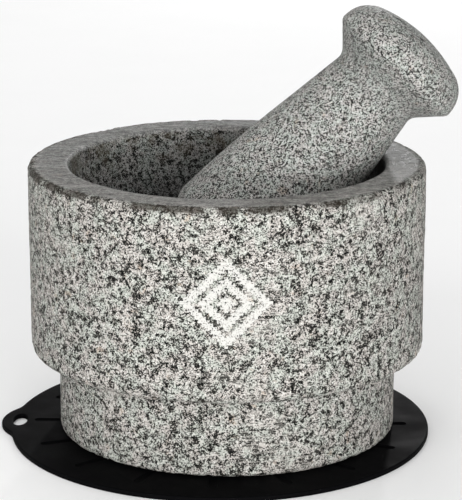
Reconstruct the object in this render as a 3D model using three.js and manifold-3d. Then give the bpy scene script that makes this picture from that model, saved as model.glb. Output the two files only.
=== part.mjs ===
// A reversible granite mortar, its pestle, and the round silicone mat that they stand on.
//
// Millimetres, +Z up. The origin is where the mortar's axis meets the underside of the mat.
// The mortar is a short cylinder on a narrower foot, with a deep bowl in its top and a
// shallow bowl in its foot. The pestle stands in the deep bowl and leans on the bowl's lip.

import * as THREE from "three";
import { mergeVertices } from "three/addons/utils/BufferGeometryUtils.js";
import Module from "manifold-3d";

const wasm = await Module();
wasm.setup();

// ---------------------------------------------------------------- driving dimensions

const MAT = {
  radius: 83,
  thickness: 2,
  offset: [-2.8, -2.3], // where the mat lies under the mortar
  turn: -1.8, // degrees
  tabReach: 87.5, // from the mat's centre to the tip of the hanging tab
  tabNoseRadius: 22,
  tabFilletRadius: 12,
  slotReach: 80.2, // from the mat's centre to the middle of the hanging slot
  slotWidth: 5.6,
  slotLength: 13,
  grooves: 16,
  grooveWidth: 3.8,
  grooveDepth: 0.8,
  grooveInner: 60,
  grooveOuter: 74.5,
};

const MORTAR = {
  radius: 77.5,
  footRadius: 66.6,
  base: MAT.thickness,
  stepHeight: 34.3, // underside of the wide cylinder
  rimHeight: 109,
  rimEdge: 2, // rounding of the rim's outer edge
  lip: 2, // rounding of the deep bowl's lip
  stepEdge: 3.5, // rounding under the wide cylinder
  stepCorner: 1.5, // hollow where the foot meets the wide cylinder
  footEdge: 2.5,
  footLip: 1.5, // rounding of the shallow bowl's lip
  deepBowlRadius: 61.3,
  deepBowlDepth: 55.4,
  shallowBowlRadius: 56,
  shallowBowlDepth: 27,
};

const PESTLE = {
  length: 124,
  clubRadius: 27.75,
  endHeight: 17, // height of the rounded grinding end
  neckRadius: 18.5,
  neckFillet: 5,
  neckBelowTop: 28.8, // from the top of the head down to the neck
  headRadius: 28.25,
  headEdge: 13, // rounding between the dome and the side of the head
  headUnderEdge: 3.5, // rounding between the side of the head and its underside
  headUnderAngle: 45, // degrees
  widestBelowTop: 15.5, // from the top of the head down to its widest ring
};

// The pestle leans in a vertical plane through the mortar's axis.
const LEAN = {
  azimuth: 10, // degrees from +X towards +Y
  tilt: 44.2, // degrees from upright
  tipAcross: -8.45, // the grinding end, measured in the plane of the lean
  tipHeight: 66.5,
};

const MORTAR_SEGMENTS = 72;
const PESTLE_SEGMENTS = 48;
const MAT_SEGMENTS = 80;

// ---------------------------------------------------------------- helpers

const radians = THREE.MathUtils.degToRad;
const QUARTER = Math.PI / 2;

// Points of an elliptical arc. Angles are in radians from +X, and run from start to end.
function arc(x, y, radiusX, radiusY, start, end, steps) {
  const curve = new THREE.EllipseCurve(x, y, radiusX, radiusY, start, end, end < start);
  return curve.getPoints(steps);
}

// Points of a round arc.
function round(x, y, radius, start, end, steps) {
  return arc(x, y, radius, radius, start, end, steps);
}

// A solid of revolution about Z. A profile point's x is its radius and its y is its height.
function turned(profile, segments) {
  const geometry = new THREE.LatheGeometry(profile, segments);
  geometry.rotateX(QUARTER);
  return geometry;
}

// A flat outline, raised from one height to another.
function slab(shape, bottom, top) {
  const geometry = new THREE.ExtrudeGeometry(shape, { depth: top - bottom, bevelEnabled: false });
  geometry.translate(0, 0, bottom);
  return geometry;
}

// A stadium outline centred on (x, 0), with its long side along X.
function stadium(x, length, width, steps) {
  const end = width / 2;
  const reach = length / 2 - end;
  return new THREE.Shape([
    ...round(x + reach, 0, end, -QUARTER, QUARTER, steps),
    ...round(x - reach, 0, end, QUARTER, 3 * QUARTER, steps),
  ]);
}

function toSolid(geometry) {
  const plain = geometry.clone();
  plain.deleteAttribute("normal");
  plain.deleteAttribute("uv");
  const merged = mergeVertices(plain, 1e-4);
  const vertProperties = merged.attributes.position.array;
  const triVerts = new Uint32Array(merged.index.array);
  return new wasm.Manifold(new wasm.Mesh({ numProp: 3, vertProperties, triVerts }));
}

function toGeometry(solid) {
  const { vertProperties, triVerts } = solid.getMesh();
  const geometry = new THREE.BufferGeometry();
  geometry.setAttribute("position", new THREE.BufferAttribute(vertProperties, 3));
  geometry.setIndex(new THREE.BufferAttribute(triVerts, 1));
  geometry.computeVertexNormals();
  return geometry;
}

function piece(name, geometry, material) {
  const mesh = new THREE.Mesh(geometry, material);
  mesh.name = name;
  return mesh;
}

// ---------------------------------------------------------------- mat

// The disc's edge runs into the tab's nose through a hollow fillet on each side.
function matOutline() {
  const { radius, tabReach, tabNoseRadius, tabFilletRadius } = MAT;
  const nose = tabReach - tabNoseRadius; // from the mat's centre to the nose's centre
  const toFillet = radius + tabFilletRadius;
  const noseToFillet = tabNoseRadius + tabFilletRadius;
  const bend = Math.acos(
    (toFillet ** 2 + nose ** 2 - noseToFillet ** 2) / (2 * toFillet * nose),
  );
  const filletX = -toFillet * Math.cos(bend);
  const filletY = toFillet * Math.sin(bend);
  const noseAngle = Math.atan2(filletY, filletX + nose);
  const intoDisc = Math.PI - bend;
  return new THREE.Shape([
    ...round(0, 0, radius, -intoDisc, intoDisc, MAT_SEGMENTS),
    ...round(filletX, filletY, tabFilletRadius, -bend, noseAngle - Math.PI, 4).slice(1),
    ...round(-nose, 0, tabNoseRadius, noseAngle, 2 * Math.PI - noseAngle, 10).slice(1),
    ...round(filletX, -filletY, tabFilletRadius, Math.PI - noseAngle, bend, 4).slice(1, -1),
  ]);
}

function matGeometry() {
  const { thickness, slotReach, slotLength, slotWidth } = MAT;
  const outline = matOutline();
  const slot = arc(-slotReach, 0, slotWidth / 2, slotLength / 2, 0, 4 * QUARTER, 24).slice(1);
  outline.holes.push(new THREE.Path(slot));
  let solid = toSolid(slab(outline, 0, thickness));

  const grooveLength = MAT.grooveOuter - MAT.grooveInner;
  const grooveMiddle = (MAT.grooveOuter + MAT.grooveInner) / 2;
  const groove = slab(
    stadium(grooveMiddle, grooveLength, MAT.grooveWidth, 4),
    thickness - MAT.grooveDepth,
    thickness + 1,
  );
  for (let i = 0; i < MAT.grooves; i++) {
    const turn = (2 * Math.PI * i) / MAT.grooves;
    solid = solid.subtract(toSolid(groove.clone().rotateZ(turn)));
  }
  return toGeometry(solid);
}

// ---------------------------------------------------------------- mortar

// From the middle of the shallow bowl, out round the foot and the rim, to the deep bowl's floor.
function mortarProfile() {
  const m = MORTAR;
  const foot = m.base;
  const shallowSphere = (m.shallowBowlRadius ** 2 + m.shallowBowlDepth ** 2) / (2 * m.shallowBowlDepth);
  const shallowCentre = foot + m.shallowBowlDepth - shallowSphere;
  const shallowSpan = Math.asin(m.shallowBowlRadius / shallowSphere);
  const deepCentre = m.rimHeight - m.lip;
  const deepDrop = m.deepBowlDepth - m.lip;
  return [
    ...round(0, shallowCentre, shallowSphere, QUARTER, QUARTER - shallowSpan, 9).slice(0, -1),
    new THREE.Vector2(m.shallowBowlRadius - 0.4, foot + 0.5),
    new THREE.Vector2(m.shallowBowlRadius + m.footLip, foot),
    ...round(m.footRadius - m.footEdge, foot + m.footEdge, m.footEdge, -QUARTER, 0, 3),
    ...round(
      m.footRadius + m.stepCorner,
      m.stepHeight - m.stepCorner,
      m.stepCorner,
      Math.PI,
      QUARTER,
      2,
    ),
    ...round(m.radius - m.stepEdge, m.stepHeight + m.stepEdge, m.stepEdge, -QUARTER, 0, 4),
    ...round(m.radius - m.rimEdge, m.rimHeight - m.rimEdge, m.rimEdge, 0, QUARTER, 3),
    ...round(m.deepBowlRadius + m.lip, deepCentre, m.lip, QUARTER, 2 * QUARTER, 3).slice(0, -1),
    ...arc(0, deepCentre, m.deepBowlRadius, deepDrop, 0, -QUARTER, 12),
  ];
}

// ---------------------------------------------------------------- pestle

// The head is a shallow dome, a wide rounding, a small rounding and a cone down to the neck.
// Heights are measured up from the grinding end.
function pestleProfile() {
  const p = PESTLE;
  const widest = p.length - p.widestBelowTop;
  const slant = radians(p.headUnderAngle);

  // The dome is the sphere that meets the wide rounding without a kink.
  const inset = p.headRadius - p.headEdge;
  const gap = p.widestBelowTop;
  const dome = (inset ** 2 + gap ** 2 - p.headEdge ** 2) / (2 * (gap - p.headEdge));
  const domeCentre = p.length - dome;
  const domeEdge = Math.atan2(widest - domeCentre, inset);

  const neck = p.length - p.neckBelowTop;
  const neckTurn = radians(9); // the fillet turns past upright, into the club's slope
  const neckCentre = p.neckRadius + p.neckFillet;
  const clubTop = new THREE.Vector2(
    neckCentre - p.neckFillet * Math.cos(neckTurn),
    neck - p.neckFillet * Math.sin(neckTurn),
  );
  const clubBottom = new THREE.Vector2(p.clubRadius, p.endHeight);
  const clubSwell = new THREE.Vector2(0.95 * p.clubRadius, 0.355 * p.length);
  const club = new THREE.QuadraticBezierCurve(clubBottom, clubSwell, clubTop);

  return [
    ...arc(0, p.endHeight, p.clubRadius, p.endHeight, -QUARTER, 0, 8).slice(0, -1),
    ...club.getPoints(9).slice(0, -1),
    ...round(neckCentre, neck, p.neckFillet, Math.PI + neckTurn, Math.PI - slant, 5),
    ...round(p.headRadius - p.headUnderEdge, widest, p.headUnderEdge, -slant, 0, 3).slice(0, -1),
    ...round(inset, widest, p.headEdge, 0, domeEdge, 6).slice(0, -1),
    ...round(0, domeCentre, dome, domeEdge, QUARTER, 5),
  ];
}

// ---------------------------------------------------------------- assembly

const silicone = new THREE.MeshStandardMaterial({ color: 0x17181a, roughness: 0.7, metalness: 0 });
const granite = new THREE.MeshStandardMaterial({ color: 0x9b9a94, roughness: 0.8, metalness: 0 });
const paleGranite = new THREE.MeshStandardMaterial({ color: 0x9a9c97, roughness: 0.6, metalness: 0 });

const mat = piece("mat", matGeometry(), silicone);
mat.position.set(MAT.offset[0], MAT.offset[1], 0);
mat.rotation.z = radians(MAT.turn);

const mortar = piece("mortar", turned(mortarProfile(), MORTAR_SEGMENTS), granite);

const pestle = piece("pestle", turned(pestleProfile(), PESTLE_SEGMENTS), paleGranite);
pestle.position.set(LEAN.tipAcross, 0, LEAN.tipHeight);
pestle.rotation.y = radians(LEAN.tilt);
const leanPlane = new THREE.Group();
leanPlane.rotation.z = radians(LEAN.azimuth);
leanPlane.add(pestle);

const part = new THREE.Group();
part.add(mat, mortar, leanPlane);

export default part;
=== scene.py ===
"""A reversible granite mortar with its pestle, on a round silicone mat.

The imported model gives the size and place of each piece. This script replaces its plain solids
with finely shaped ones in speckled granite and silicone, and sets up the studio and camera.
"""

import math

import bmesh
import bpy
import numpy as np
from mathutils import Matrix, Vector


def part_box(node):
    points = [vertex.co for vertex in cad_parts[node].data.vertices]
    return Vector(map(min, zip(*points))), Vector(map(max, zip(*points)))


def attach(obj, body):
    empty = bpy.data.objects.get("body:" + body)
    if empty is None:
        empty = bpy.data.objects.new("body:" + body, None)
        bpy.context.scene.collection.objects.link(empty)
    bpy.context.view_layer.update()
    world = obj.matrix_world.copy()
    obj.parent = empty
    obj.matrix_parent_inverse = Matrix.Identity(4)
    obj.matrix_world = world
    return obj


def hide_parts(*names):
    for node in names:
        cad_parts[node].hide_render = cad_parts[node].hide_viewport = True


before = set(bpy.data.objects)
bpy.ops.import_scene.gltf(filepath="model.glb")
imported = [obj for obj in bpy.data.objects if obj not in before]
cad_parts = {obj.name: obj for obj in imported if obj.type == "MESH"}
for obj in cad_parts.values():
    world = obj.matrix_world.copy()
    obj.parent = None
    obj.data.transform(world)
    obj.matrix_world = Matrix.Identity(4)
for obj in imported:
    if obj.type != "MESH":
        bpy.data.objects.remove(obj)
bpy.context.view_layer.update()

MM = 0.001
TURN = 2 * math.pi


# ---------------------------------------------------------------- sizes of the finer shapes, mm

MORTAR_EDGES = {
    "foot_lip": 1.5,  # between the shallow bowl and the face that the foot stands on
    "foot": 2.5,
    "corner": 1.5,  # the hollow under the wide part
    "step": 3.5,
    "rim": 2.4,
    "lip": 2.0,  # between the rim's flat top and the deep bowl
}
COARSE, MEDIUM, FINE = 2.6, 1.45, 0.55  # spacing of the rows and columns of points
NEAR_RIM = (-12, -8)  # heights from the rim, between which its wear sets in
WORN_LESS = (35, 65)  # places along X, between which the wear fades

# A stepped diamond, etched in the mortar's front.
ETCHING_HEIGHT = 73.3
ETCHING_CELL = 1.35
ETCHING_BANDS = ((0, 2), (5, 7), (10, 12))  # first and last cell of each line, from the middle
ETCHING_DEPTH = 0.35
ETCHING_REACH = 18.0
ETCHING_FRONT = 70.0  # how far forward a point must be to be on the outer face

PESTLE = {
    "end_height": 17.0,
    "swell": (0.95, 0.355),  # of the club's radius, of the length
    "neck_below_top": 28.8,
    "neck_fillet": 5.0,
    "neck_turn": 9.0,  # degrees
    "head_edge": 13.0,
    "under_edge": 3.5,
    "under_angle": 45.0,  # degrees
    "widest_below_top": 15.5,
}
PESTLE_ROW, PESTLE_COLUMNS = 1.1, 208
# Places along the pestle from its neck, between which its painted shade starts and ends
HOLLOW_STARTS, HOLLOW_ENDS, DOME_STARTS = (-9, -1), (6, 12), (14, 21)

MAT_EDGE = 0.6
MAT_TURN = -1.8  # degrees
MAT_NOSE, MAT_FILLET = 22.0, 12.0  # radii of the hanging tab and of its run into the disc
SLOT_REACH, SLOT_WIDTH, SLOT_LENGTH = 80.2, 5.6, 13.0
GROOVES, GROOVE_WIDTH, GROOVE_DEPTH = 16, 3.8, 0.8
GROOVE_INNER, GROOVE_OUTER = 60.0, 74.5  # how far from the mat's centre they start and end


# ---------------------------------------------------------------- noise and mesh helpers

def lattice(cells, seed):
    """A repeatable value from -1 to 1 for each whole-numbered cell."""
    primes = np.array([73856093, 19349663, 83492791], np.int64)
    mixed = (cells.astype(np.int64) * primes).sum(1) + seed * 2654435761
    mixed = (mixed ^ (mixed >> 13)) * 1274126177 & 0xFFFFFFFF
    mixed = (mixed ^ (mixed >> 16)) * 2246822519 & 0xFFFFFFFF
    return (mixed ^ (mixed >> 15)) / 2147483647.5 - 1


def noise(points, size, seed):
    """Smooth noise from -1 to 1, with bumps of about the given size."""
    scaled = points / size
    base = np.floor(scaled)
    local = scaled - base
    smooth = local * local * (3 - 2 * local)
    total = np.zeros(len(points))
    for corner in np.ndindex(2, 2, 2):
        share = np.prod(np.where(corner, smooth, 1 - smooth), axis=1)
        total += share * lattice(base + corner, seed)
    return total


def rough_noise(points, size, seed, octaves=3):
    """Noise with finer noise on it, each octave half as large and half as strong."""
    return sum(noise(points, size / 2**k, seed + k) / 2**k for k in range(octaves))


def ramp(value, start, end):
    """0 before start and 1 after end, with a smooth run between."""
    t = np.clip((value - start) / (end - start), 0, 1)
    return t * t * (3 - 2 * t)


def arc(centre, radii, start, end, spacing):
    """Points on an elliptical arc, from one angle in degrees to another."""
    start, end = math.radians(start), math.radians(end)
    steps = max(2, math.ceil(abs(end - start) * max(radii) / spacing))
    turn = np.linspace(start, end, steps + 1)
    return np.c_[centre[0] + radii[0] * np.cos(turn), centre[1] + radii[1] * np.sin(turn)]


def line(start, end, spacing):
    """Points on a straight run, without its ends."""
    start, end = np.array(start, float), np.array(end, float)
    steps = max(2, round(np.linalg.norm(end - start) / spacing))
    return start + (end - start) * np.arange(1, steps)[:, None] / steps


def turned(rows, angles):
    """Grid points of a solid of revolution, and their outward directions.

    rows holds (radius, height) from one pole to the other, poles left out.
    """
    along = np.gradient(rows, axis=0)
    across = np.c_[along[:, 1], -along[:, 0]]
    across /= np.linalg.norm(across, axis=1)[:, None]
    cos, sin = np.cos(angles)[None, :], np.sin(angles)[None, :]

    def spun(pair):
        radial, up = pair[:, :1], pair[:, 1:]
        return np.stack([radial * cos, radial * sin, up + 0 * cos], axis=-1).reshape(-1, 3)

    return spun(rows), spun(across)


def turned_mesh(name, points, rows, columns, poles):
    """A closed mesh from grid points in millimetres, with a fan of triangles at each pole."""
    first = np.arange(rows * columns).reshape(rows, columns)
    after = np.roll(first, -1, axis=1)
    quads = np.stack([first[:-1], after[:-1], after[1:], first[1:]], axis=-1).reshape(-1, 4)
    low, high = rows * columns, rows * columns + 1
    faces = quads.tolist()
    faces += [(low, after[0, i], first[0, i]) for i in range(columns)]
    faces += [(high, first[-1, i], after[-1, i]) for i in range(columns)]
    mesh = bpy.data.meshes.new(name)
    mesh.from_pydata((np.vstack([points, poles]) * MM).tolist(), [], faces)
    mesh.polygons.foreach_set("use_smooth", np.ones(len(faces), bool))
    mesh.update()
    return mesh


def give_masks(mesh, **masks):
    """Stores numbers on the mesh's points, for its material to read."""
    for name, values in masks.items():
        layer = mesh.attributes.new(name, "FLOAT", "POINT")
        layer.data.foreach_set("value", np.r_[values, values[0], values[-1]].astype(np.float32))


def show(mesh, node, material):
    """Puts a mesh in the scene in place of a CAD node."""
    piece = bpy.data.objects.new(node + "_surface", mesh)
    bpy.context.scene.collection.objects.link(piece)
    mesh.materials.append(material)
    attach(piece, node)
    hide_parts(node)
    return piece


# ---------------------------------------------------------------- materials

class Shader:
    """A material whose nodes are added and joined by short calls."""

    def __init__(self, name, **surface):
        self.material = bpy.data.materials.new(name)
        self.material.use_nodes = True
        self.tree = self.material.node_tree
        self.surface = self.tree.nodes["Principled BSDF"]
        for socket, value in surface.items():
            self.surface.inputs[socket].default_value = value

    def node(self, kind, settings=None, **inputs):
        made = self.tree.nodes.new("ShaderNode" + kind)
        for key, value in (settings or {}).items():
            setattr(made, key, value)
        for key, value in inputs.items():
            self.put(made.inputs[key.replace("_", " ")], value)
        return made

    def put(self, socket, value):
        if isinstance(value, bpy.types.NodeSocket):
            self.tree.links.new(value, socket)
        else:
            socket.default_value = value

    def place(self):
        """Where a point is on the piece, in metres."""
        return self.node("TexCoord").outputs["Object"]

    def mask(self, name):
        return self.node("Attribute", {"attribute_name": name}).outputs["Fac"]

    def maths(self, operation, *values):
        made = self.node("Math", {"operation": operation})
        for socket, value in zip(made.inputs, values):
            self.put(socket, value)
        return made.outputs[0]

    def noise(self, place, size, detail=2.0, roughness=0.5, distortion=0.0):
        """Noise from 0 to 1, with bumps of about size millimetres."""
        made = self.node(
            "TexNoise",
            Vector=place,
            Scale=1 / (size * MM),
            Detail=detail,
            Roughness=roughness,
            Distortion=distortion,
        )
        return made.outputs["Fac"]

    def cells(self, place, size):
        """Three unrelated values from 0 to 1 for each grain of about size millimetres."""
        grains = self.node("TexVoronoi", Vector=place, Scale=1 / (size * MM))
        return self.node("SeparateColor", Color=grains.outputs["Color"]).outputs[:3]

    def ramp(self, value, low, high, start=0.0, end=1.0):
        """start where value is under low and end where it is over high, smoothly between."""
        made = self.node("MapRange", {"interpolation_type": "SMOOTHSTEP"})
        for socket, number in zip(made.inputs[:5], (value, low, high, start, end)):
            self.put(socket, number)
        return made.outputs[0]

    def mix(self, share, first, second, blend="MIX"):
        made = self.node("Mix", {"data_type": "RGBA", "blend_type": blend})
        self.put(made.inputs[0], share)
        self.put(made.inputs[6], first)
        self.put(made.inputs[7], second)
        return made.outputs[2]

    def shift(self, place, amount, size):
        """The place, moved about by up to amount millimetres, so that edges aren't smooth."""
        wobble = self.node("TexNoise", Vector=place, Scale=1 / (size * MM), Detail=1.0)
        centred = self.node("VectorMath", {"operation": "SUBTRACT"})
        self.put(centred.inputs[0], wobble.outputs["Color"])
        self.put(centred.inputs[1], (0.5, 0.5, 0.5))
        scaled = self.node("VectorMath", {"operation": "SCALE"})
        self.put(scaled.inputs[0], centred.outputs[0])
        scaled.inputs["Scale"].default_value = 2 * amount * MM
        moved = self.node("VectorMath", {"operation": "ADD"})
        self.put(moved.inputs[0], place)
        self.put(moved.inputs[1], scaled.outputs[0])
        return moved.outputs[0]

    def finish(self, colour, roughness, height, strength, distance):
        self.put(self.surface.inputs["Base Color"], colour)
        self.put(self.surface.inputs["Roughness"], roughness)
        bump = self.node("Bump", Height=height, Strength=strength, Distance=distance * MM)
        self.put(self.surface.inputs["Normal"], bump.outputs[0])
        return self.material


def colour(red, green, blue):
    """A linear colour from display values of 0 to 255."""
    return tuple(
        c / 12.92 if c <= 0.04045 else ((c + 0.055) / 1.055) ** 2.4
        for c in (red / 255, green / 255, blue / 255)
    ) + (1.0,)


def speckles(shader, grain, dark_share, shallowest, deepest):
    """The mineral pattern of granite: its colour, and where it is dark.

    grain is the size of its crystals in millimetres, and dark_share raises how much is dark.
    shallowest and deepest are how much light the finest pits give back, in the pale ground and
    in the dark clusters.
    """
    place = shader.place()
    uneven = shader.shift(place, 0.2 * grain, 0.4 * grain)

    # Pale quartz and feldspar in faintly warm and cool patches
    patches = shader.ramp(shader.noise(place, 6 * grain), 0.40, 0.60)
    pale = shader.mix(patches, colour(160, 156, 151), colour(155, 158, 151))
    tones = shader.cells(uneven, 0.42 * grain)
    pale = shader.mix(1.0, pale, shader.ramp(tones[0], 0.0, 1.0, 0.8, 1.04), "MULTIPLY")
    pale = shader.mix(shader.ramp(tones[1], 0.84, 0.88), pale, colour(185, 184, 180))

    # Dark mica and hornblende: small flecks, crowded together in ragged clusters
    clusters = shader.noise(uneven, 2.3 * grain, 4.0, 0.72)
    clusters = shader.maths("ADD", clusters, dark_share)
    pale = shader.mix(shader.ramp(clusters, 0.48, 0.60, 0.0, 0.5), pale, colour(96, 91, 84))
    chance = shader.ramp(clusters, 0.505, 0.58, 0.05, 0.77)
    bits = shader.cells(uneven, 0.48 * grain)
    dark = shader.ramp(shader.maths("SUBTRACT", chance, bits[0]), -0.02, 0.02)
    ink = shader.mix(bits[1], colour(5, 5, 5), colour(50, 49, 45))
    rusty = shader.ramp(shader.noise(place, 5.5, 3.0, 0.6), 0.62, 0.72, 0.0, 0.4)
    pale = shader.mix(rusty, pale, colour(150, 126, 104))
    pitted = shader.ramp(clusters, 0.44, 0.53, shallowest, deepest)
    fine = shader.ramp(shader.cells(place, 0.42)[0], 0.2, 0.5, pitted, 1.2)
    stone = shader.mix(1.0, shader.mix(dark, pale, ink), fine, "MULTIPLY")
    return place, stone, dark


def etched_lines(shader, axes):
    """1 inside the lines of the stepped diamond, and 0 outside them."""
    def steps(distance):
        cells = shader.maths("DIVIDE", shader.maths("ABSOLUTE", distance), ETCHING_CELL * MM)
        return shader.maths("ROUND", cells)

    up = shader.maths("SUBTRACT", axes.outputs["Z"], ETCHING_HEIGHT * MM)
    ring = shader.maths("ADD", steps(axes.outputs["X"]), steps(up))
    lines = 0.0
    for low, high in ETCHING_BANDS:
        band = shader.maths("COMPARE", ring, (low + high) / 2, (high - low + 1) / 2)
        lines = shader.maths("ADD", lines, band)
    front = shader.maths("LESS_THAN", axes.outputs["Y"], -ETCHING_FRONT * MM)
    return shader.maths("MULTIPLY", lines, front)


def rough_granite():
    """The turned mortar: coarse outside, ground smooth on the rim and in the bowls."""
    shader = Shader("rough_granite", **{"Specular IOR Level": 0.1})
    place, stone, dark = speckles(shader, 1.0, 0.0, 0.36, 0.0)
    ground, bowl, worn = (shader.mask(m) for m in ("ground", "bowl", "worn"))

    # Ground faces show the pattern faintly, under streaks left by the wheel
    streaks = shader.node("Mapping", Vector=place, Scale=(0.28, 1.0, 1.0))
    streaky = shader.noise(streaks.outputs[0], 1.5, 3.0, 0.75)
    depth = shader.node("SeparateXYZ", Vector=place)
    # Painted shade and light: the rim is made darker towards its front and lighter towards its
    # right, in place of how the lamps and the pestle's shadow fall on it
    painted_shade_to_front = shader.ramp(depth.outputs["Y"], -0.075, 0.02)
    rim_tone = shader.mix(painted_shade_to_front, colour(116, 114, 111), colour(122, 122, 121))
    painted_light_to_right = shader.ramp(depth.outputs["X"], 0.02, 0.07, 1.0, 1.16)
    rim_tone = shader.mix(1.0, rim_tone, painted_light_to_right, "MULTIPLY")
    cloudy = shader.ramp(shader.noise(place, 9.0, 4.0, 0.7), 0.3, 0.7, 0.72, 1.3)
    rim_tone = shader.mix(1.0, rim_tone, cloudy, "MULTIPLY")
    rim_tone = shader.mix(1.0, rim_tone, shader.ramp(streaky, 0.40, 0.60, 0.6, 1.35), "MULTIPLY")
    scratches = shader.node("Mapping", Vector=place, Scale=(0.12, 1.0, 1.0))
    scratched = shader.ramp(shader.noise(scratches.outputs[0], 0.7, 1.0), 0.33, 0.40, 0.75, 0.0)
    rim_tone = shader.mix(scratched, rim_tone, colour(52, 47, 42))
    ground_stone = shader.mix(0.66, stone, rim_tone)

    # The deep bowl is darker towards its floor and on its right, where the pestle leans: painted
    # shade and a painted shadow of the pestle. Under its lip it is browned in patches.
    # Painted shade: darker the deeper in the bowl
    painted_depth_shade = shader.mix(
        shader.ramp(depth.outputs["Z"], 0.078, 0.106), colour(138, 140, 143), colour(212, 214, 216)
    )
    # Painted shadow of the pestle on the bowl's right wall
    painted_pestle_shadow = shader.ramp(depth.outputs["X"], -0.03, 0.05, 1.0, 0.3)
    bowl_stone = shader.mix(1.0, stone, painted_depth_shade, "MULTIPLY")
    bowl_stone = shader.mix(1.0, bowl_stone, painted_pestle_shadow, "MULTIPLY")
    oily = shader.ramp(shader.noise(place, 8.0, 3.0, 0.7), 0.44, 0.62, 0.0, 0.5)
    under_lip = shader.ramp(depth.outputs["Z"], 0.092, 0.104)
    bowl_stone = shader.mix(
        shader.maths("MULTIPLY", oily, under_lip), bowl_stone, colour(76, 68, 55)
    )

    # Fine level lines that the lathe left on the side, here and there
    lathe = shader.node("Mapping", Vector=place, Scale=(0.03, 0.03, 1.0))
    lines = shader.ramp(shader.noise(lathe.outputs[0], 0.5, 1.0), 0.48, 0.60, 0.0, 1.0)
    turned_patches = shader.ramp(shader.noise(place, 24.0, 1.0), 0.55, 0.70, 0.0, 0.3)
    stone = shader.mix(
        shader.maths("MULTIPLY", lines, turned_patches), stone, colour(196, 193, 186)
    )
    tone = shader.mix(ground, stone, ground_stone)
    tone = shader.mix(bowl, tone, bowl_stone)
    tone = shader.mix(worn, tone, colour(42, 37, 31))
    grit = shader.ramp(shader.noise(place, 0.6, 2.0), 0.36, 0.50)
    etched = shader.maths("MULTIPLY", etched_lines(shader, depth), grit)
    tone = shader.mix(etched, tone, colour(190, 189, 185))

    smooth = shader.maths("MAXIMUM", ground, bowl)
    roughness = shader.ramp(smooth, 0.0, 1.0, 0.86, 0.6)
    roughness = shader.maths("ADD", roughness, shader.ramp(dark, 0.0, 1.0, 0.0, -0.12))
    grains = shader.noise(place, 0.7, 3.0, 0.65)
    height = shader.maths("ADD", grains, shader.maths("MULTIPLY", lines, 0.3))
    height = shader.maths("SUBTRACT", height, shader.ramp(dark, 0.0, 1.0, 0.0, 0.3))
    height = shader.maths("MULTIPLY", height, shader.ramp(smooth, 0.0, 1.0, 1.0, 0.25))
    return shader.finish(tone, roughness, height, 0.7, 0.25)


def honed_granite():
    """The pestle: finer speckles, rubbed smooth."""
    shader = Shader("honed_granite", **{"Specular IOR Level": 0.15})
    place, stone, dark = speckles(shader, 0.62, -0.035, 0.05, 0.0)
    cool = shader.mix(1.0, stone, colour(249, 251, 253), "MULTIPLY")
    worn = shader.mask("worn")
    # Painted shade: the hollow of the neck and the end of the head are darkened
    shaded_tone = shader.mix(0.2, cool, colour(122, 122, 119))
    shaded_tone = shader.mix(1.0, shaded_tone, colour(242, 243, 243), "MULTIPLY")
    tone = shader.mix(shader.mask("dulled"), cool, shaded_tone)
    tone = shader.mix(worn, tone, colour(34, 33, 30))
    roughness = shader.ramp(shader.noise(place, 3.0, 3.0), 0.3, 0.7, 0.5, 0.66)
    grains = shader.noise(place, 0.7, 3.0, 0.6)
    height = shader.maths("SUBTRACT", grains, shader.ramp(dark, 0.0, 1.0, 0.0, 0.35))
    return shader.finish(tone, roughness, height, 0.5, 0.3)


def silicone():
    """The mat: near-black silicone with a fine moulded texture and a little stone dust."""
    shader = Shader("silicone", **{"Specular IOR Level": 0.03})
    place = shader.place()
    cloudy = shader.noise(place, 22.0, 3.0)
    tone = shader.mix(cloudy, colour(2, 2, 3), colour(7, 7, 8))
    dust = shader.ramp(shader.noise(place, 1.1, 2.0, 0.7), 0.66, 0.78, 0.0, 0.3)
    tone = shader.mix(dust, tone, colour(52, 51, 49))
    roughness = shader.ramp(cloudy, 0.3, 0.7, 0.58, 0.74)
    stipple = shader.noise(place, 0.5, 1.0)
    return shader.finish(tone, roughness, stipple, 0.35, 0.12)


# ---------------------------------------------------------------- mortar

def rings_of(node):
    """The radius and height in millimetres of each point of a CAD solid turned about Z."""
    points = np.array([v.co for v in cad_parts[node].data.vertices]) / MM
    return np.hypot(points[:, 0], points[:, 1]), points[:, 2]


def mortar_sizes():
    """The mortar's main sizes, read off its CAD solid."""
    radius, height = rings_of("mortar")
    base, rim = height.min(), height.max()
    outer = radius.max()
    on_axis = height[radius < 0.01]
    wide = height[radius > 0.999 * outer]
    step = height[radius > 0.9 * outer].min()
    foot = radius[height < base + 0.6 * (step - base)].max()
    lip = radius[(height > rim - 0.01)].min()
    shallow = radius[(height < base + 0.01)].min()
    return {
        "base": base,
        "rim": rim,
        "outer": outer,
        "step": step,
        "foot": foot,
        "side_low": wide.min(),
        "deep_radius": lip - MORTAR_EDGES["lip"],
        "deep_floor": on_axis.max(),
        "shallow_radius": shallow - MORTAR_EDGES["foot_lip"],
        "shallow_top": on_axis.min(),
    }


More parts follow.
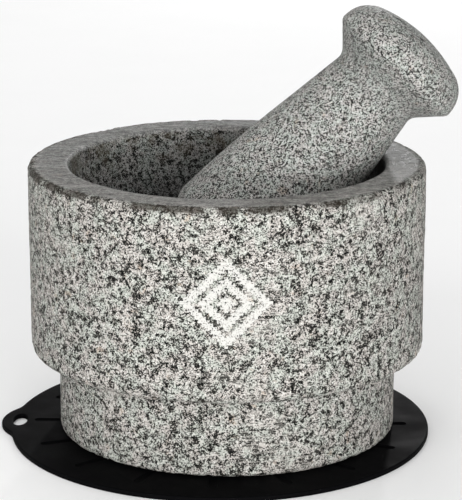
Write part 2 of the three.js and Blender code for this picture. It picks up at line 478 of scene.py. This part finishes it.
def mortar_rows(size):
    """The mortar's profile, from the shallow bowl out round the foot and rim into the deep bowl.

    Returns the points and the kind of each one, such as an edge or a bowl.
    """
    edge = MORTAR_EDGES
    base, rim, outer, step, foot = (size[k] for k in ("base", "rim", "outer", "step", "foot"))
    hollow = size["shallow_radius"]
    depth = size["shallow_top"] - base
    sphere = (hollow**2 + depth**2) / (2 * depth)
    span = math.degrees(math.asin(hollow / sphere))
    low, high = ETCHING_HEIGHT - ETCHING_REACH, ETCHING_HEIGHT + ETCHING_REACH
    lip_height = rim - edge["lip"]
    deep_drop = lip_height - size["deep_floor"]
    deep = size["deep_radius"]

    def rounding(name, radius, height, start, end, spacing):
        return arc((radius, height), (edge[name], edge[name]), start, end, spacing)

    foot_in, foot_up = foot - edge["foot"], base + edge["foot"]
    corner_out, corner_down = foot + edge["corner"], step - edge["corner"]
    step_in, step_up = outer - edge["step"], step + edge["step"]
    rim_in, rim_down = outer - edge["rim"], rim - edge["rim"]
    mouth, lip_out = hollow + edge["foot_lip"], deep + edge["lip"]
    shallow_centre = (0, size["shallow_top"] - sphere)
    runs = [
        ("bowl", arc(shallow_centre, (sphere, sphere), 90, 90 - span, COARSE)[1:-1]),
        ("edge", rounding("foot_lip", mouth, base + edge["foot_lip"], 210, 270, 0.6)),
        ("ground", line((mouth, base), (foot_in, base), MEDIUM)),
        ("edge", rounding("foot", foot_in, foot_up, -90, 0, 0.8)),
        ("side", line((foot, foot_up), (foot, corner_down), MEDIUM)),
        ("side", rounding("corner", corner_out, corner_down, 180, 90, 0.7)),
        ("side", line((corner_out, step), (step_in, step), MEDIUM)),
        ("edge", rounding("step", step_in, step_up, -90, 0, 0.9)),
        ("side", line((outer, step_up), (outer, low), MEDIUM)),
        ("side", line((outer, low), (outer, high), FINE)),
        ("side", line((outer, high), (outer, rim_down), MEDIUM)),
        ("edge", rounding("rim", rim_in, rim_down, 0, 90, 0.6)),
        ("ground", line((rim_in, rim), (lip_out, rim), 1.1)),
        ("lip", rounding("lip", lip_out, lip_height, 90, 180, 0.6)[:-1]),
        ("bowl", arc((0, lip_height), (deep, deep_drop), 0, -90, 1.1 * MEDIUM)[:-1]),
    ]
    kinds = np.concatenate([[kind] * len(points) for kind, points in runs])
    return np.concatenate([points for _, points in runs]), kinds


def mortar_columns(outer):
    """Angles round the mortar, closer together across the etching in its front."""
    across = np.arange(-ETCHING_REACH, ETCHING_REACH + FINE / 2, FINE)
    front = np.arcsin(across / outer) - TURN / 4
    rest = TURN - (front[-1] - front[0])
    steps = round(rest * outer / MEDIUM)
    return np.r_[front, front[-1] + rest * np.arange(1, steps) / steps]


def etching(points):
    """How deep each point is in the etched diamond: 1 in its lines, and 0 outside them."""
    across = np.abs(points[:, 0]) / ETCHING_CELL
    up = np.abs(points[:, 2] - ETCHING_HEIGHT) / ETCHING_CELL
    ring = np.round(across) + np.round(up)
    lines = sum((ring >= low) & (ring <= high) for low, high in ETCHING_BANDS)
    return lines * (points[:, 1] < -ETCHING_FRONT).astype(float)


def soften(values, rows, columns):
    """Each grid value, averaged a little with its four neighbours."""
    grid = values.reshape(rows, columns)
    sides = np.roll(grid, 1, 1) + np.roll(grid, -1, 1)
    ends = np.vstack([grid[:1], grid[:-1]]) + np.vstack([grid[1:], grid[-1:]])
    return (0.5 * grid + 0.125 * (sides + ends)).ravel()


def make_mortar():
    size = mortar_sizes()
    profile, kinds = mortar_rows(size)
    angles = mortar_columns(size["outer"])
    rows, columns = len(profile), len(angles)
    points, outward = turned(profile, angles)

    def band(*names):
        return np.repeat(np.isin(kinds, names), columns).astype(float)

    edges, ground, bowl, side = band("edge"), band("ground", "lip"), band("bowl"), band("side")
    for _ in range(2):
        edges = soften(edges, rows, columns)
        ground = soften(ground, rows, columns)
        bowl = soften(bowl, rows, columns)

    etched = soften(etching(points), rows, columns) * (side > 0)
    wander = 0.2 * rough_noise(points, 30.0, 11, 2)
    grain = 0.1 * rough_noise(points, 2.6, 23, 2) * (1 - 0.85 * np.maximum(ground, bowl))
    pits = 0.5 * ramp(noise(points, 3.4, 37), 0.55, 0.85) * (side + edges).clip(0, 1)
    near_rim = ramp(points[:, 2] - size["rim"], *NEAR_RIM)
    chips = 0.5 * ramp(rough_noise(points, 4.5, 41), 0.2, 0.9) * edges * (1 - 0.7 * near_rim)
    sunk = pits + chips + ETCHING_DEPTH * etched
    points = points + outward * (wander + grain - 0.25 - sunk)[:, None]

    poles = np.array([[0, 0, size["shallow_top"]], [0, 0, size["deep_floor"]]])
    mesh = turned_mesh("mortar_surface", points, rows, columns, poles)

    # The rim's outer edge is browned in patches, and less on the side the pestle leans over.
    patchy = ramp(rough_noise(points, 6.0, 53), 0.1 - 0.9 * near_rim, 0.6 - 0.4 * near_rim)
    worn = patchy * ramp(edges, 0.65, 1.0) * (0.25 + 0.55 * near_rim)
    worn *= 1 - 0.6 * ramp(points[:, 0], *WORN_LESS)
    give_masks(mesh, ground=ground, bowl=bowl, worn=worn)
    return show(mesh, "mortar", rough_granite())


# ---------------------------------------------------------------- pestle

def pestle_frame():
    """The pestle's axis from its CAD solid: its lower end, its direction, and its sizes."""
    points = np.array([v.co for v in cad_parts["pestle"].data.vertices]) / MM
    middle = points.mean(0)
    _, vectors = np.linalg.eigh(np.cov((points - middle).T))
    direction = vectors[:, -1] * np.sign(vectors[2, -1])
    along = (points - middle) @ direction
    off_axis = points - middle - along[:, None] * direction
    centre = middle + (off_axis.max(0) + off_axis.min(0)) / 2
    along = (points - centre) @ direction
    radius = np.linalg.norm(points - centre - along[:, None] * direction, axis=1)
    height = along - along.min()
    length = height.max()
    lower = height < length / 2
    waist = (height > 0.7 * length) & (height < length - PESTLE["widest_below_top"] - 2)
    return {
        "end": centre + along.min() * direction,
        "direction": direction,
        "length": length,
        "club": radius[lower].max(),
        "head": radius[~lower].max(),
        "neck": radius[waist & (radius > 0.5 * radius.max())].min(),
    }


def pestle_rows(size):
    """The pestle's profile, from its grinding end up to the middle of its head."""
    club, head, neck_radius, length = (size[k] for k in ("club", "head", "neck", "length"))
    end, fillet = PESTLE["end_height"], PESTLE["neck_fillet"]
    widest = length - PESTLE["widest_below_top"]
    neck = length - PESTLE["neck_below_top"]
    inset, gap = head - PESTLE["head_edge"], PESTLE["widest_below_top"]
    dome = (inset**2 + gap**2 - PESTLE["head_edge"] ** 2) / (2 * (gap - PESTLE["head_edge"]))
    dome_edge = math.degrees(math.atan2(widest - (length - dome), inset))
    neck_turn, slant = math.radians(PESTLE["neck_turn"]), PESTLE["under_angle"]
    top = np.array([
        neck_radius + fillet - fillet * math.cos(neck_turn),
        neck - fillet * math.sin(neck_turn),
    ])
    swell = np.array([PESTLE["swell"][0] * club, PESTLE["swell"][1] * length])
    t = np.linspace(0, 1, round((top[1] - end) / PESTLE_ROW))[1:-1, None]
    bottom = np.array([club, end])
    curve = (1 - t) ** 2 * bottom + 2 * t * (1 - t) * swell + t * t * top
    under = arc((head - PESTLE["under_edge"], widest), (PESTLE["under_edge"],) * 2, -slant, 0, 0.8)
    fillet_arc = arc(
        (neck_radius + fillet, neck), (fillet, fillet), 180 + PESTLE["neck_turn"], 180 - slant, 0.7
    )
    return np.concatenate([
        arc((0, end), (club, end), -90, 0, PESTLE_ROW)[1:],
        curve,
        fillet_arc,
        line(fillet_arc[-1], under[0], PESTLE_ROW),
        under[:-1],
        arc((inset, widest), (PESTLE["head_edge"],) * 2, 0, dome_edge, 0.9)[:-1],
        arc((0, length - dome), (dome, dome), dome_edge, 90, PESTLE_ROW)[:-1],
    ])


def make_pestle():
    size = pestle_frame()
    profile = pestle_rows(size)
    rows = len(profile)
    points, outward = turned(profile, np.arange(PESTLE_COLUMNS) / PESTLE_COLUMNS * TURN)

    wander = 0.28 * rough_noise(points, 24.0, 61, 2)
    grain = 0.05 * rough_noise(points, 2.4, 67, 2)
    pits = 0.5 * ramp(noise(points, 2.3, 71), 0.66, 0.9)
    points = points + outward * (wander + grain - 0.2 - pits)[:, None]
    poles = np.array([[0, 0, 0.2], [0, 0, size["length"] - 0.2]])

    # The turned shape stands upright, and is then laid along the CAD solid's axis.
    lean = Vector(size["direction"]).to_track_quat("Z", "Y").to_matrix()
    turn = np.array(lean).T
    points, poles = (upright @ turn + size["end"] for upright in (points, poles))
    mesh = turned_mesh("pestle_surface", points, rows, PESTLE_COLUMNS, poles)
    above_neck = profile[:, 1] - (size["length"] - PESTLE["neck_below_top"])
    above_neck = np.repeat(above_neck, PESTLE_COLUMNS)
    hollow = ramp(above_neck, *HOLLOW_STARTS) * (1 - ramp(above_neck, *HOLLOW_ENDS))
    dome = ramp(above_neck, *DOME_STARTS)
    # The second mask is painted shade in the neck's hollow and on the dome
    give_masks(mesh, worn=ramp(pits, 0.1, 0.45) * 0.8, dulled=hollow + 0.45 * dome)
    return show(mesh, "pestle", honed_granite())


# ---------------------------------------------------------------- mat

def mat_outline(radius, reach):
    """The disc's edge with its hanging tab towards -X, as points about the disc's centre."""
    nose = reach - MAT_NOSE
    to_fillet, nose_to_fillet = radius + MAT_FILLET, MAT_NOSE + MAT_FILLET
    bend = math.acos((to_fillet**2 + nose**2 - nose_to_fillet**2) / (2 * to_fillet * nose))
    fillet = (-to_fillet * math.cos(bend), to_fillet * math.sin(bend))
    lean = math.atan2(fillet[1], fillet[0] + nose)
    disc, bent, leaned = 180 - math.degrees(bend), math.degrees(bend), math.degrees(lean)
    return np.concatenate([
        arc((0, 0), (radius, radius), -disc, disc, 2.0)[:-1],
        arc(fillet, (MAT_FILLET, MAT_FILLET), -bent, leaned - 180, 1.0)[:-1],
        arc((-nose, 0), (MAT_NOSE, MAT_NOSE), leaned, 360 - leaned, 1.0)[:-1],
        arc((fillet[0], -fillet[1]), (MAT_FILLET, MAT_FILLET), 180 - leaned, bent, 1.0)[:-1],
    ])


def inset(outline, amount):
    """An outline, moved to its left by amount at each point."""
    ahead, behind = np.roll(outline, -1, 0), np.roll(outline, 1, 0)
    along = ahead - behind
    left = np.c_[-along[:, 1], along[:, 0]] / np.linalg.norm(along, axis=1)[:, None]
    return outline + left * amount


def loops(bm, outline, thickness):
    """Rows of vertices up a rounded edge, joined by faces. Returns the lowest and highest row."""
    levels = [(MAT_EDGE * 0.6, 0.0), (MAT_EDGE * 0.15, MAT_EDGE * 0.15), (0.0, MAT_EDGE * 0.6)]
    turn = np.linspace(0, math.pi / 2, 6)
    levels += [
        (MAT_EDGE * (1 - math.cos(t)), thickness - MAT_EDGE + MAT_EDGE * math.sin(t)) for t in turn
    ]
    made = []
    for amount, height in levels:
        moved = inset(outline, amount)
        made.append([bm.verts.new((x * MM, y * MM, height * MM)) for x, y in moved])
    count = len(outline)
    for lower, upper in zip(made, made[1:]):
        for i in range(count):
            bm.faces.new((lower[i], lower[(i + 1) % count], upper[(i + 1) % count], upper[i]))
    return made[0], made[-1]


def close_ring(row):
    return [(row[i], row[(i + 1) % len(row)]) for i in range(len(row))]


def mat_slab(radius, reach, thickness):
    """The mat before its grooves: a slab with rounded edges and an oval slot in its tab."""
    bm = bmesh.new()
    slot = arc((-SLOT_REACH, 0), (SLOT_WIDTH / 2, SLOT_LENGTH / 2), 0, 360, 0.6)[:-1][::-1]
    rows = [loops(bm, outline, thickness) for outline in (mat_outline(radius, reach), slot)]
    for level in (0, 1):
        edges = [bm.edges.get(pair) for row in rows for pair in close_ring(row[level])]
        bmesh.ops.triangle_fill(bm, use_beauty=True, edges=edges)
    bmesh.ops.recalc_face_normals(bm, faces=bm.faces)
    mesh = bpy.data.meshes.new("mat_slab")
    bm.to_mesh(mesh)
    bm.free()
    return mesh


def groove_bars(thickness):
    """Flattened, round-ended bars that press the shallow grooves into the mat's top."""
    bm = bmesh.new()
    middle = (GROOVE_INNER + GROOVE_OUTER) / 2 * MM
    half = (GROOVE_OUTER - GROOVE_INNER - GROOVE_WIDTH) / 2 * MM
    radius, top = GROOVE_WIDTH / 2 * MM, thickness * MM
    flatten = GROOVE_DEPTH * MM / radius
    for i in range(GROOVES):
        ball = bmesh.ops.create_uvsphere(bm, u_segments=12, v_segments=8, radius=radius)
        turn = TURN * i / GROOVES
        along = Vector((math.cos(turn), math.sin(turn), 0))
        across = Vector((-along.y, along.x, 0))
        for vertex in ball["verts"]:
            x, y, z = vertex.co
            reach = middle + x + math.copysign(half, x)
            vertex.co = along * reach + across * y + Vector((0, 0, flatten * z + top))
    mesh = bpy.data.meshes.new("groove_bars")
    bm.to_mesh(mesh)
    bm.free()
    return mesh


def make_mat():
    low, high = (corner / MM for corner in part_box("mat"))
    radius = (high.y - low.y) / 2
    centre = Vector((high.x - radius, (high.y + low.y) / 2, 0))
    reach = (centre.x - low.x) / math.cos(math.radians(MAT_TURN))
    thickness = high.z
    slab = bpy.data.objects.new("mat_slab", mat_slab(radius, reach, thickness))
    bars = bpy.data.objects.new("groove_bars", groove_bars(thickness))
    for made in (slab, bars):
        bpy.context.scene.collection.objects.link(made)
    cut = slab.modifiers.new("grooves", "BOOLEAN")
    cut.object, cut.operation, cut.solver = bars, "DIFFERENCE", "EXACT"
    graph = bpy.context.evaluated_depsgraph_get()
    mesh = bpy.data.meshes.new_from_object(slab.evaluated_get(graph))
    mesh.name = "mat_surface"
    for made in (slab, bars):
        bpy.data.objects.remove(made)

    turn = math.radians(MAT_TURN)
    cos, sin = math.cos(turn), math.sin(turn)
    for vertex in mesh.vertices:
        x, y, z = vertex.co
        vertex.co = Vector((x * cos - y * sin, x * sin + y * cos, z)) + centre * MM
    mesh.polygons.foreach_set("use_smooth", np.ones(len(mesh.polygons), bool))
    mesh.set_sharp_from_angle(angle=math.radians(40))
    return show(mesh, "mat", silicone())


# ---------------------------------------------------------------- studio

CAMERA = {
    "place": (0.00349, -0.85896, 0.30636),
    "down": 15.23,  # degrees below level
    "right": -0.13,  # degrees off +Y
    "lens": 163.05,
    "sensor": 36.0,
}


def soft_light(name, place, target, size, power):
    lamp = bpy.data.lights.new(name, "AREA")
    lamp.shape, lamp.size, lamp.size_y = "RECTANGLE", size[0], size[1]
    lamp.energy = power
    made = bpy.data.objects.new(name, lamp)
    made.location = place
    made.rotation_euler = (Vector(target) - Vector(place)).to_track_quat("-Z", "Y").to_euler()
    bpy.context.scene.collection.objects.link(made)
    return made


def pale_floor():
    """A floor that curves up into a backdrop on every side, like a studio bowl."""
    around, reach, bend = 96, 3.0, 1.5  # points in each ring; metres
    angles = np.arange(around) / around * TURN
    rings = [(r, 0.0) for r in (0.3, 1.0, 2.0, reach)] + [
        (reach + bend * math.sin(t), bend - bend * math.cos(t)) for t in np.linspace(0.2, 1.5, 8)
    ]
    verts = [(0, 0, 0)] + [(r * math.cos(a), r * math.sin(a), z) for r, z in rings for a in angles]
    faces = [(0, 1 + i, 1 + (i + 1) % around) for i in range(around)]
    for low in range(1, 1 + around * (len(rings) - 1), around):
        for i in range(around):
            j = (i + 1) % around
            faces.append((low + i, low + around + i, low + around + j, low + j))
    mesh = bpy.data.meshes.new("floor")
    mesh.from_pydata(verts, [], faces)
    mesh.polygons.foreach_set("use_smooth", np.ones(len(faces), bool))
    paint = Shader("floor_paint", Roughness=0.9)
    speck = paint.noise(paint.place(), 60.0)
    paint.put(
        paint.surface.inputs["Base Color"],
        paint.mix(speck, colour(254, 254, 254), colour(251, 251, 251)),
    )
    mesh.materials.append(paint.material)
    floor = bpy.data.objects.new("floor", mesh)
    bpy.context.scene.collection.objects.link(floor)


def studio():
    scene = bpy.context.scene
    lens = bpy.data.cameras.new("camera")
    lens.lens, lens.sensor_width = CAMERA["lens"], CAMERA["sensor"]
    camera = bpy.data.objects.new("camera", lens)
    camera.location = CAMERA["place"]
    camera.rotation_euler = (math.radians(90 - CAMERA["down"]), 0, math.radians(-CAMERA["right"]))
    scene.collection.objects.link(camera)
    scene.camera = camera
    scene.view_settings.view_transform = "Standard"

    world = bpy.data.worlds.new("room")
    world.use_nodes = True
    room = world.node_tree.nodes["Background"].inputs
    room["Color"].default_value = (1.0, 1.0, 1.0, 1.0)
    room["Strength"].default_value = 0.5
    scene.world = world
    target = (0, 0, 0.08)
    soft_light("key", (0.7, -1.5, 0.5), target, (1.0, 0.8), 14.4)
    soft_light("fill", (-0.9, -1.2, 0.8), target, (1.0, 0.8), 7.2)
    soft_light("low", (-0.1, -1.4, 0.12), (0, 0, 0.03), (1.6, 0.2), 13.6)
    soft_light("top", (-0.3, 0.8, 1.4), target, (1.0, 0.8), 5.5)
    soft_light("back", (0.3, 1.91, 0.6), target, (0.1, 0.1), 5.6)


# ---------------------------------------------------------------- assembly

studio()
pale_floor()
make_mat()
make_mortar()
make_pestle()
